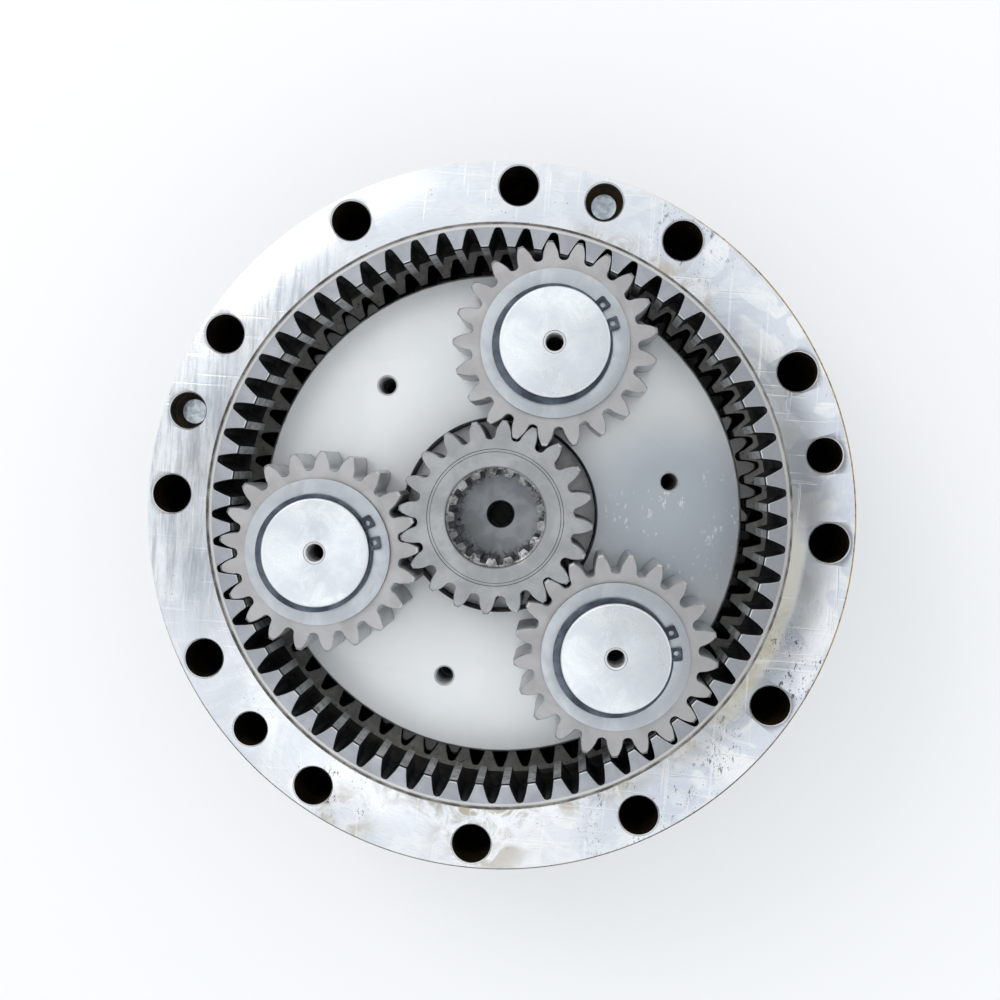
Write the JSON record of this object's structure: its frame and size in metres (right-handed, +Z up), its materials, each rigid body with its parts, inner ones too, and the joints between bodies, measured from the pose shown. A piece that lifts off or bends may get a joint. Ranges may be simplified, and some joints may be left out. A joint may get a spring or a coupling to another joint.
{
  "type": "planetary gear set",
  "caption": "Round flanged ring gear holding two stages of planetary gears, each with a central sun, planets on pins, needle bearings, washers and a carrier plate.",
  "frame": {"origin": "centre of the ring gear's bottom face, on the gear axis", "axes": "+Z up along the gear axis towards the motor side, +X through a flange bolt hole"},
  "size_m": [0.325, 0.325, 0.1249],
  "materials": {
    "ring_steel": "ground face, machined teeth",
    "carrier_steel": "fine turned",
    "gear_steel": "hardened, matte",
    "spring_steel": "blued, satin",
    "pin_steel": "ground and turned",
    "cage_steel": "pressed, satin",
    "roller_steel": "ground",
    "washer_steel": "ground, satin"
  },
  "bodies": {
    "ring": {"ring_gear": "ring_steel"},
    "carrier_1": {"carrier_1": "carrier_steel", "sun_thrust_plate": "washer_steel", "sun_gear_2": "gear_steel", "planet_pin_1_a": "pin_steel", "lower_washer_1_a": "washer_steel", "upper_washer_1_a": "washer_steel", "snap_ring_1_a": "spring_steel", "planet_pin_1_b": "pin_steel", "lower_washer_1_b": "washer_steel", "upper_washer_1_b": "washer_steel", "snap_ring_1_b": "spring_steel", "planet_pin_1_c": "pin_steel", "lower_washer_1_c": "washer_steel", "upper_washer_1_c": "washer_steel", "snap_ring_1_c": "spring_steel"},
    "sun_1": {"sun_gear_1": "gear_steel"},
    "carrier_2": {"carrier_2": "carrier_steel", "sun_2_thrust_washer": "washer_steel", "planet_pin_2_a": "pin_steel", "lower_washer_2_a": "washer_steel", "upper_washer_2_a": "washer_steel", "snap_ring_2_a": "spring_steel", "planet_pin_2_b": "pin_steel", "lower_washer_2_b": "washer_steel", "upper_washer_2_b": "washer_steel", "snap_ring_2_b": "spring_steel", "planet_pin_2_c": "pin_steel", "lower_washer_2_c": "washer_steel", "upper_washer_2_c": "washer_steel", "snap_ring_2_c": "spring_steel"},
    "planet_1_a": {"planet_gear_1_a": "gear_steel"},
    "bearing_1_a": {"needle_cage_1_a": "cage_steel", "needle_rollers_1_a": "roller_steel"},
    "planet_1_b": {"planet_gear_1_b": "gear_steel"},
    "bearing_1_b": {"needle_cage_1_b": "cage_steel", "needle_rollers_1_b": "roller_steel"},
    "planet_1_c": {"planet_gear_1_c": "gear_steel"},
    "bearing_1_c": {"needle_cage_1_c": "cage_steel", "needle_rollers_1_c": "roller_steel"},
    "planet_2_a": {"planet_gear_2_a": "gear_steel"},
    "bearing_2_a": {"needle_cage_2_a": "cage_steel", "needle_rollers_2_a": "roller_steel"},
    "planet_2_b": {"planet_gear_2_b": "gear_steel"},
    "bearing_2_b": {"needle_cage_2_b": "cage_steel", "needle_rollers_2_b": "roller_steel"},
    "planet_2_c": {"planet_gear_2_c": "gear_steel"},
    "bearing_2_c": {"needle_cage_2_c": "cage_steel", "needle_rollers_2_c": "roller_steel"}
  },
  "joints": [
    {"name": "carrier_1_spin", "type": "hinge", "parent": "ring", "child": "carrier_1", "pos_m": [0, 0, 0.074], "axis": [0, 0, 1], "continuous": true},
    {"name": "sun_1_spin", "type": "hinge", "parent": "ring", "child": "sun_1", "pos_m": [0, 0, 0.097], "axis": [0, 0, 1], "continuous": true},
    {"name": "carrier_2_spin", "type": "hinge", "parent": "ring", "child": "carrier_2", "pos_m": [0, 0, 0.011], "axis": [0, 0, 1], "continuous": true},
    {"name": "planet_1_a_spin", "type": "hinge", "parent": "carrier_1", "child": "planet_1_a", "pos_m": [0.02147, 0.08121, 0.102], "axis": [0, 0, 1], "continuous": true},
    {"name": "bearing_1_a_spin", "type": "hinge", "parent": "carrier_1", "child": "bearing_1_a", "pos_m": [0.02147, 0.08121, 0.102], "axis": [0, 0, 1], "continuous": true},
    {"name": "planet_1_b_spin", "type": "hinge", "parent": "carrier_1", "child": "planet_1_b", "pos_m": [-0.08107, -0.02201, 0.102], "axis": [0, 0, 1], "continuous": true},
    {"name": "bearing_1_b_spin", "type": "hinge", "parent": "carrier_1", "child": "bearing_1_b", "pos_m": [-0.08107, -0.02201, 0.102], "axis": [0, 0, 1], "continuous": true},
    {"name": "planet_1_c_spin", "type": "hinge", "parent": "carrier_1", "child": "planet_1_c", "pos_m": [0.05959, -0.0592, 0.102], "axis": [0, 0, 1], "continuous": true},
    {"name": "bearing_1_c_spin", "type": "hinge", "parent": "carrier_1", "child": "bearing_1_c", "pos_m": [0.05959, -0.0592, 0.102], "axis": [0, 0, 1], "continuous": true},
    {"name": "planet_2_a_spin", "type": "hinge", "parent": "carrier_2", "child": "planet_2_a", "pos_m": [-0.05959, 0.0592, 0.04], "axis": [0, 0, 1], "continuous": true},
    {"name": "bearing_2_a_spin", "type": "hinge", "parent": "carrier_2", "child": "bearing_2_a", "pos_m": [-0.05959, 0.0592, 0.04], "axis": [0, 0, 1], "continuous": true},
    {"name": "planet_2_b_spin", "type": "hinge", "parent": "carrier_2", "child": "planet_2_b", "pos_m": [-0.02147, -0.08121, 0.04], "axis": [0, 0, 1], "continuous": true},
    {"name": "bearing_2_b_spin", "type": "hinge", "parent": "carrier_2", "child": "bearing_2_b", "pos_m": [-0.02147, -0.08121, 0.04], "axis": [0, 0, 1], "continuous": true},
    {"name": "planet_2_c_spin", "type": "hinge", "parent": "carrier_2", "child": "planet_2_c", "pos_m": [0.08107, 0.02201, 0.04], "axis": [0, 0, 1], "continuous": true},
    {"name": "bearing_2_c_spin", "type": "hinge", "parent": "carrier_2", "child": "bearing_2_c", "pos_m": [0.08107, 0.02201, 0.04], "axis": [0, 0, 1], "continuous": true}
  ],
  "couplings": [
    {"joint": "sun_1_spin", "follows": "carrier_1_spin", "ratio": 4.2},
    {"joint": "carrier_2_spin", "follows": "carrier_1_spin", "ratio": 0.2381},
    {"joint": "planet_1_a_spin", "follows": "carrier_1_spin", "ratio": -3.0476},
    {"joint": "bearing_1_a_spin", "follows": "carrier_1_spin", "ratio": -1.6623},
    {"joint": "planet_1_b_spin", "follows": "carrier_1_spin", "ratio": -3.0476},
    {"joint": "bearing_1_b_spin", "follows": "carrier_1_spin", "ratio": -1.6623},
    {"joint": "planet_1_c_spin", "follows": "carrier_1_spin", "ratio": -3.0476},
    {"joint": "bearing_1_c_spin", "follows": "carrier_1_spin", "ratio": -1.6623},
    {"joint": "planet_2_a_spin", "follows": "carrier_1_spin", "ratio": -0.72562},
    {"joint": "bearing_2_a_spin", "follows": "carrier_1_spin", "ratio": -0.39579},
    {"joint": "planet_2_b_spin", "follows": "carrier_1_spin", "ratio": -0.72562},
    {"joint": "bearing_2_b_spin", "follows": "carrier_1_spin", "ratio": -0.39579},
    {"joint": "planet_2_c_spin", "follows": "carrier_1_spin", "ratio": -0.72562},
    {"joint": "bearing_2_c_spin", "follows": "carrier_1_spin", "ratio": -0.39579}
  ]
}
